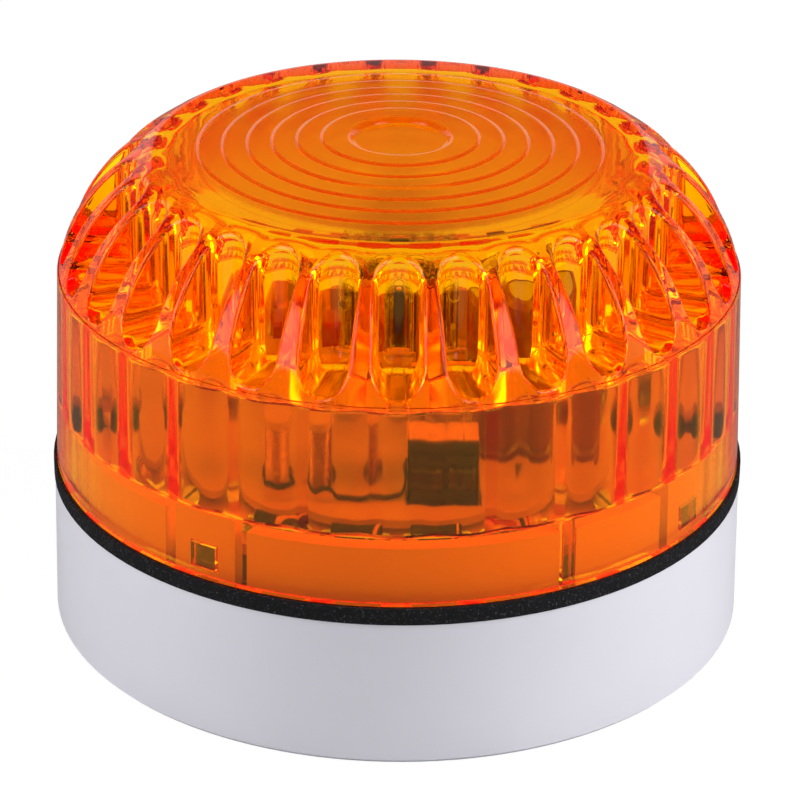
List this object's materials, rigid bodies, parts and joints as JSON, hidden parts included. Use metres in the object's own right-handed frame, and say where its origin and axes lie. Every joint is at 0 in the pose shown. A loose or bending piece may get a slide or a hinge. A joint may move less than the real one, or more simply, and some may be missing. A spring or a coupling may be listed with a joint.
{
  "type": "xenon strobe beacon",
  "caption": "Wall-mounting xenon strobe beacon: shallow white drum base, black foam seal and a clip-on fluted amber lens over the flash tube and its driver board.",
  "frame": {"origin": "centre of the flat back face that meets the wall", "axes": "+Z out of the back face through the lens, -Y towards the pictured front, +X to the right in that view"},
  "size_m": [0.098, 0.098, 0.0703],
  "materials": {
    "white_plastic": "satin",
    "amber_acrylic": "polished",
    "foam_rubber": "matte",
    "black_rubber": "matte",
    "board_laminate": "satin",
    "reflector_white": "satin",
    "zinc_steel": "satin",
    "flash_glass": "polished",
    "nickel_wire": "satin",
    "white_ceramic": "matte",
    "can_aluminium": "satin",
    "brown_sleeve": "gloss",
    "ferrite": "matte",
    "black_nylon": "satin",
    "dark_tape": "gloss",
    "pale_tape": "gloss",
    "natural_nylon": "satin",
    "copper_wire": "gloss",
    "red_epoxy": "gloss",
    "blue_sleeve": "gloss",
    "ochre_coating": "satin",
    "black_epoxy": "matte",
    "tinned_metal": "satin",
    "resistor_coat": "matte",
    "beige_coat": "satin",
    "brass": "satin"
  },
  "bodies": {
    "base": {"base_housing": "white_plastic", "snap_tongues": "white_plastic", "lens_gasket": "foam_rubber", "cable_grommet": "black_rubber", "driver_board": "board_laminate", "board_screws": "zinc_steel", "reflector_plate": "reflector_white", "flash_tube": "flash_glass", "flash_tube_electrodes": "nickel_wire", "flash_tube_holder": "white_ceramic", "trigger_band": "nickel_wire", "storage_capacitor_can": "can_aluminium", "storage_capacitor_sleeve": "brown_sleeve", "transformer_core": "ferrite", "transformer_bobbin": "black_nylon", "transformer_winding": "dark_tape", "trigger_coil_bobbin": "natural_nylon", "trigger_coil_winding": "copper_wire", "trigger_capacitor": "red_epoxy", "input_capacitor": "blue_sleeve", "surge_varistor": "ochre_coating", "switching_transistor": "black_epoxy", "switching_transistor_metal": "tinned_metal", "power_resistor": "resistor_coat", "rectifier_diodes": "black_epoxy", "bias_resistors": "beige_coat", "component_leads": "tinned_metal", "terminal_block": "natural_nylon", "terminal_contacts": "tinned_metal"},
    "lens": {"lens": "amber_acrylic"},
    "clamp_1": {"terminal_clamp_1": "brass"},
    "screw_1": {"terminal_screw_1": "zinc_steel"},
    "clamp_2": {"terminal_clamp_2": "brass"},
    "screw_2": {"terminal_screw_2": "zinc_steel"},
    "clamp_3": {"terminal_clamp_3": "brass"},
    "screw_3": {"terminal_screw_3": "zinc_steel"},
    "clamp_4": {"terminal_clamp_4": "brass"},
    "screw_4": {"terminal_screw_4": "zinc_steel"}
  },
  "joints": [
    {"name": "lens_lift", "type": "slide", "parent": "base", "child": "lens", "axis": [0, 0, 1], "range_m": [0, 0.045], "deforming": ["snap_tongues"]},
    {"name": "screw_turn_1", "type": "hinge", "parent": "base", "child": "screw_1", "pos_m": [-0.0075, 0.0288, 0.036], "axis": [0, 0, -1], "range_deg": [0, 1440]},
    {"name": "clamp_rise_1", "type": "slide", "parent": "base", "child": "clamp_1", "axis": [0, 0, 1], "range_m": [0, 0.002]},
    {"name": "screw_turn_2", "type": "hinge", "parent": "base", "child": "screw_2", "pos_m": [-0.0025, 0.0288, 0.036], "axis": [0, 0, -1], "range_deg": [0, 1440]},
    {"name": "clamp_rise_2", "type": "slide", "parent": "base", "child": "clamp_2", "axis": [0, 0, 1], "range_m": [0, 0.002]},
    {"name": "screw_turn_3", "type": "hinge", "parent": "base", "child": "screw_3", "pos_m": [0.0025, 0.0288, 0.036], "axis": [0, 0, -1], "range_deg": [0, 1440]},
    {"name": "clamp_rise_3", "type": "slide", "parent": "base", "child": "clamp_3", "axis": [0, 0, 1], "range_m": [0, 0.002]},
    {"name": "screw_turn_4", "type": "hinge", "parent": "base", "child": "screw_4", "pos_m": [0.0075, 0.0288, 0.036], "axis": [0, 0, -1], "range_deg": [0, 1440]},
    {"name": "clamp_rise_4", "type": "slide", "parent": "base", "child": "clamp_4", "axis": [0, 0, 1], "range_m": [0, 0.002]}
  ],
  "couplings": [
    {"joint": "screw_turn_1", "follows": "clamp_rise_1", "rad_per_m": 12566},
    {"joint": "screw_turn_2", "follows": "clamp_rise_2", "rad_per_m": 12566},
    {"joint": "screw_turn_3", "follows": "clamp_rise_3", "rad_per_m": 12566},
    {"joint": "screw_turn_4", "follows": "clamp_rise_4", "rad_per_m": 12566}
  ]
}
